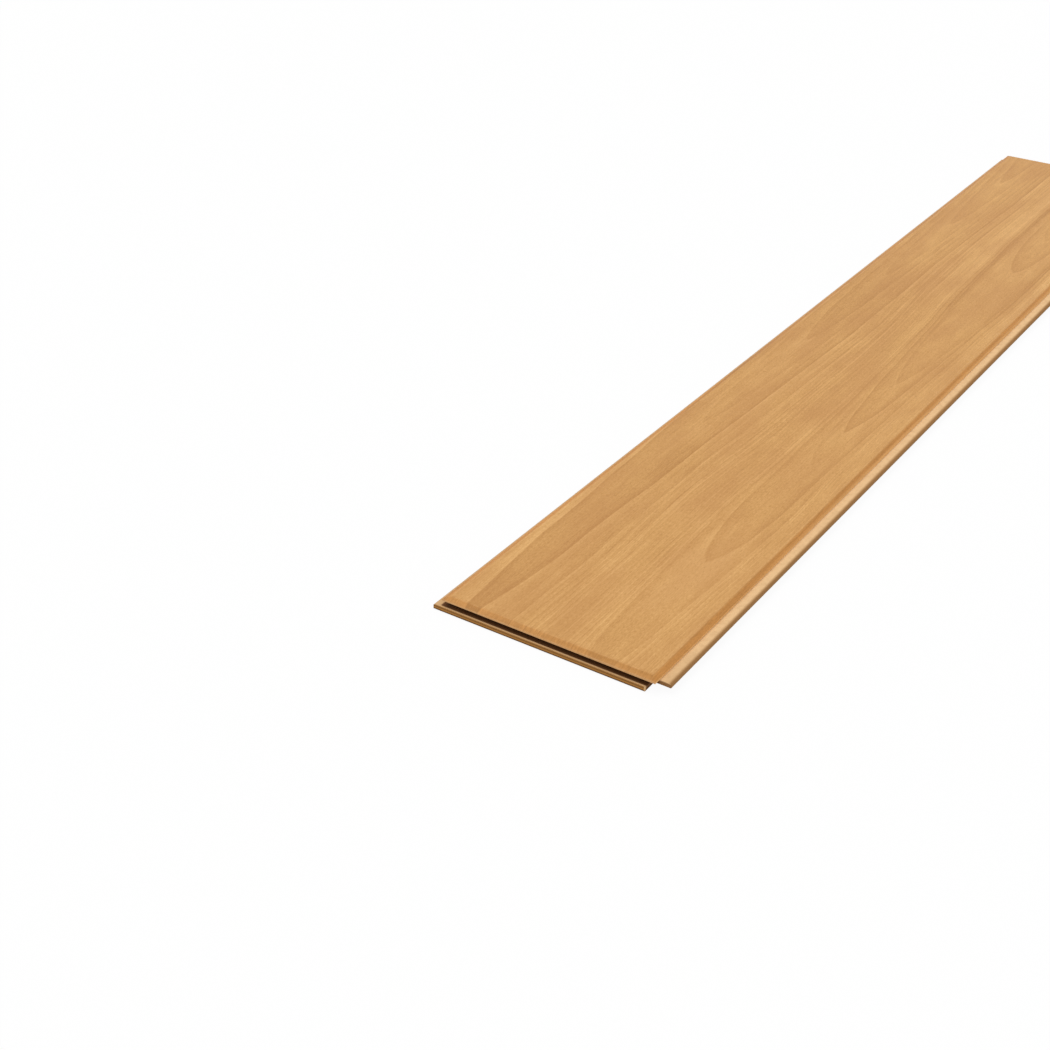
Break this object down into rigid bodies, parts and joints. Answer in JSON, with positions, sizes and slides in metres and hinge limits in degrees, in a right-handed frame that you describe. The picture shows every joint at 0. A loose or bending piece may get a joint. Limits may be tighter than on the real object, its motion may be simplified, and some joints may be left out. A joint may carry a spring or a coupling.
{
  "type": "tongue and groove wall panel",
  "caption": "Long flat board with a bevelled decor face, a groove in the left long side and the near end, and a tongue on the right long side and the far end.",
  "frame": {"origin": "middle of the outline, tongues and lower lips included, at the back of the panel", "axes": "+X across the panel towards the long tongue, +Y along the panel towards the end tongue, +Z out of the decor face"},
  "size_m": [0.2168, 1.2894, 0.012],
  "materials": {
    "wall_panel": "satin beech decor foil over medium-density fibreboard"
  },
  "bodies": {
    "root": {"wall_panel": "wall_panel"}
  },
  "joints": []
}
